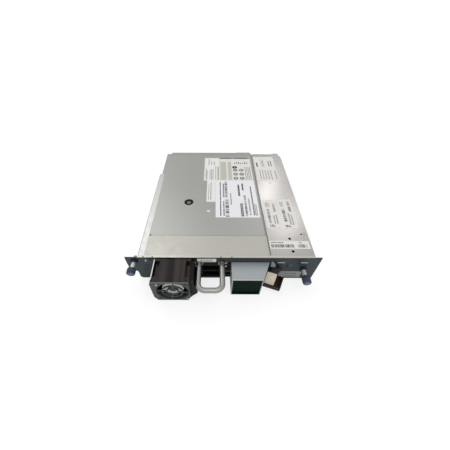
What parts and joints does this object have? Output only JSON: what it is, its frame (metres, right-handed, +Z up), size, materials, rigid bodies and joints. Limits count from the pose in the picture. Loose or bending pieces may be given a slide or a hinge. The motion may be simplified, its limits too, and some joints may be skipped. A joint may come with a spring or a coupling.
{
  "type": "data tape drive",
  "caption": "Half-height tape drive in a sheet-metal library sled, with rear panel, cooling fan, pull handle, hooded connector, captive thumbscrews and cartridge loader.",
  "frame": {"origin": "on the sled floor's underside, on the rear panel's centre line, halfway between the panel's outer face and the cartridge mouth", "axes": "+X right along the rear panel as seen from outside it, +Y from the rear panel towards the cartridge mouth, +Z up"},
  "size_m": [0.2282, 0.2779, 0.0435],
  "materials": {
    "galvanised_steel": "bare zinc-plated sheet, satin",
    "panel_steel": "zinc-plated sheet, satin",
    "cover_steel": "brushed stainless sheet",
    "cast_metal": "as cast",
    "polished_steel": "satin plated",
    "screw_steel": "machined",
    "knob_plastic": "moulded, blue-grey",
    "black_plastic": "moulded, glossy black",
    "fan_plastic": "moulded black",
    "guard_plastic": "moulded dark grey",
    "hood_green": "very dark green",
    "white_plastic": "natural nylon",
    "clear_plastic": "clear moulded",
    "lead_insulation": "soft PVC",
    "board_green": "solder mask",
    "bezel_plastic": "moulded, fine texture",
    "rubber_black": "moulded",
    "white_acetal": "acetal",
    "ceramic_head": "lapped"
  },
  "bodies": {
    "sled": {"sled_tray": "galvanised_steel", "rear_panel": "panel_steel", "rear_cover": "galvanised_steel", "channel_cover": "galvanised_steel", "status_light": "clear_plastic", "fan_frame": "black_plastic", "fan_guard": "guard_plastic", "fan_bracket": "galvanised_steel", "fan_shroud": "black_plastic", "pull_handle": "polished_steel", "handle_nuts": "screw_steel", "port_cage": "black_plastic", "hood": "galvanised_steel", "hood_front": "hood_green", "plug_holder": "black_plastic", "lead_plug": "white_plastic", "plug_leads": "lead_insulation", "lead_clip": "clear_plastic", "ferrules": "knob_plastic", "drive_chassis": "cast_metal", "main_board": "board_green", "drive_cover": "cover_steel", "cover_grommet": "rubber_black", "drive_bezel": "bezel_plastic", "front_lights": "clear_plastic", "take_up_motor": "screw_steel", "supply_motor": "screw_steel", "roller_posts": "screw_steel", "head_base": "cast_metal", "loader_motor": "screw_steel", "board_standoffs": "screw_steel", "adapter_board": "board_green", "control_board": "board_green"},
    "fan_impeller": {"fan_impeller": "fan_plastic"},
    "left_retainer": {"left_retainer": "screw_steel"},
    "right_retainer": {"right_retainer": "screw_steel"},
    "left_thumbscrew": {"left_knob": "knob_plastic", "left_shank": "screw_steel"},
    "right_thumbscrew": {"right_knob": "knob_plastic", "right_shank": "screw_steel"},
    "cartridge_door": {"cartridge_door": "bezel_plastic"},
    "eject_button": {"eject_button": "bezel_plastic"},
    "take_up_reel": {"take_up_reel": "white_acetal"},
    "supply_chuck": {"supply_chuck": "screw_steel"},
    "guide_roller_1": {"guide_roller_1": "white_acetal"},
    "guide_roller_2": {"guide_roller_2": "white_acetal"},
    "guide_roller_3": {"guide_roller_3": "white_acetal"},
    "guide_roller_4": {"guide_roller_4": "white_acetal"},
    "tape_head": {"tape_head": "ceramic_head"},
    "head_screw": {"head_screw": "screw_steel"},
    "side_plates": {"side_plates": "screw_steel"},
    "cartridge_tray": {"cartridge_tray": "galvanised_steel"},
    "loader_slide": {"loader_slide": "screw_steel"},
    "loader_gear": {"loader_gear": "white_acetal"}
  },
  "joints": [
    {"name": "fan_spin", "type": "hinge", "parent": "sled", "child": "fan_impeller", "pos_m": [-0.0575, -0.129, 0.022], "axis": [0, 1, 0], "continuous": true},
    {"name": "left_screw_advance", "type": "slide", "parent": "sled", "child": "left_retainer", "axis": [0, 1, 0], "range_m": [0, 0.0043]},
    {"name": "left_screw_turn", "type": "hinge", "parent": "left_retainer", "child": "left_thumbscrew", "pos_m": [-0.1048, -0.119, 0.0359], "axis": [0, 1, 0], "range_deg": [-1, 2212.43]},
    {"name": "right_screw_advance", "type": "slide", "parent": "sled", "child": "right_retainer", "axis": [0, 1, 0], "range_m": [0, 0.0043]},
    {"name": "right_screw_turn", "type": "hinge", "parent": "right_retainer", "child": "right_thumbscrew", "pos_m": [0.0982, -0.119, 0.021], "axis": [0, 1, 0], "range_deg": [-1, 2212.43]},
    {"name": "door_swing", "type": "hinge", "parent": "sled", "child": "cartridge_door", "pos_m": [-0.0188, 0.112, 0.0385], "axis": [-1, 0, 0], "range_deg": [0, 84], "stiffness_Nm_per_rad": 0.002, "springref_deg": -11.46},
    {"name": "eject_press", "type": "slide", "parent": "sled", "child": "eject_button", "axis": [0, -1, 0], "range_m": [0, 0.0012], "stiffness_N_per_m": 300},
    {"name": "take_up_spin", "type": "hinge", "parent": "sled", "child": "take_up_reel", "pos_m": [-0.0188, -0.041, 0.02], "axis": [0, 0, 1], "continuous": true},
    {"name": "supply_spin", "type": "hinge", "parent": "sled", "child": "supply_chuck", "pos_m": [-0.0188, 0.057, 0.012], "axis": [0, 0, 1], "continuous": true},
    {"name": "roller_1_spin", "type": "hinge", "parent": "sled", "child": "guide_roller_1", "pos_m": [-0.08, 0.00432, 0.025], "axis": [0, 0, 1], "continuous": true},
    {"name": "roller_2_spin", "type": "hinge", "parent": "sled", "child": "guide_roller_2", "pos_m": [-0.08, -0.0092, 0.025], "axis": [0, 0, 1], "continuous": true},
    {"name": "roller_3_spin", "type": "hinge", "parent": "sled", "child": "guide_roller_3", "pos_m": [-0.08, -0.04204, 0.025], "axis": [0, 0, 1], "continuous": true},
    {"name": "roller_4_spin", "type": "hinge", "parent": "sled", "child": "guide_roller_4", "pos_m": [-0.0696, -0.0566, 0.025], "axis": [0, 0, 1], "continuous": true},
    {"name": "head_shift", "type": "slide", "parent": "sled", "child": "tape_head", "axis": [0, 0, 1], "range_m": [-0.002, 0.002]},
    {"name": "head_screw_turn", "type": "hinge", "parent": "sled", "child": "head_screw", "pos_m": [-0.0828, -0.02562, 0.025], "axis": [0, 0, 1], "range_deg": [-720, 720]},
    {"name": "loader_run", "type": "slide", "parent": "sled", "child": "loader_slide", "axis": [0, -1, 0], "range_m": [0, 0.02]},
    {"name": "loader_gear_turn", "type": "hinge", "parent": "sled", "child": "loader_gear", "pos_m": [0.0393, -0.014, 0.018], "axis": [0, 0, 1], "range_deg": [-180.05, 1]},
    {"name": "carriage_in", "type": "slide", "parent": "sled", "child": "side_plates", "axis": [0, -1, 0], "range_m": [0, 0.01]},
    {"name": "tray_drop", "type": "slide", "parent": "side_plates", "child": "cartridge_tray", "axis": [0, 0, -1], "range_m": [0, 0.003]}
  ],
  "couplings": [
    {"joint": "left_screw_turn", "follows": "left_screw_advance", "rad_per_m": 8976},
    {"joint": "right_screw_turn", "follows": "right_screw_advance", "rad_per_m": 8976},
    {"joint": "head_screw_turn", "follows": "head_shift", "rad_per_m": 6283.2},
    {"joint": "loader_gear_turn", "follows": "loader_run", "rad_per_m": -156.25},
    {"joint": "carriage_in", "follows": "loader_run", "ratio": 0.5},
    {"joint": "tray_drop", "follows": "loader_run", "ratio": 0.15}
  ]
}
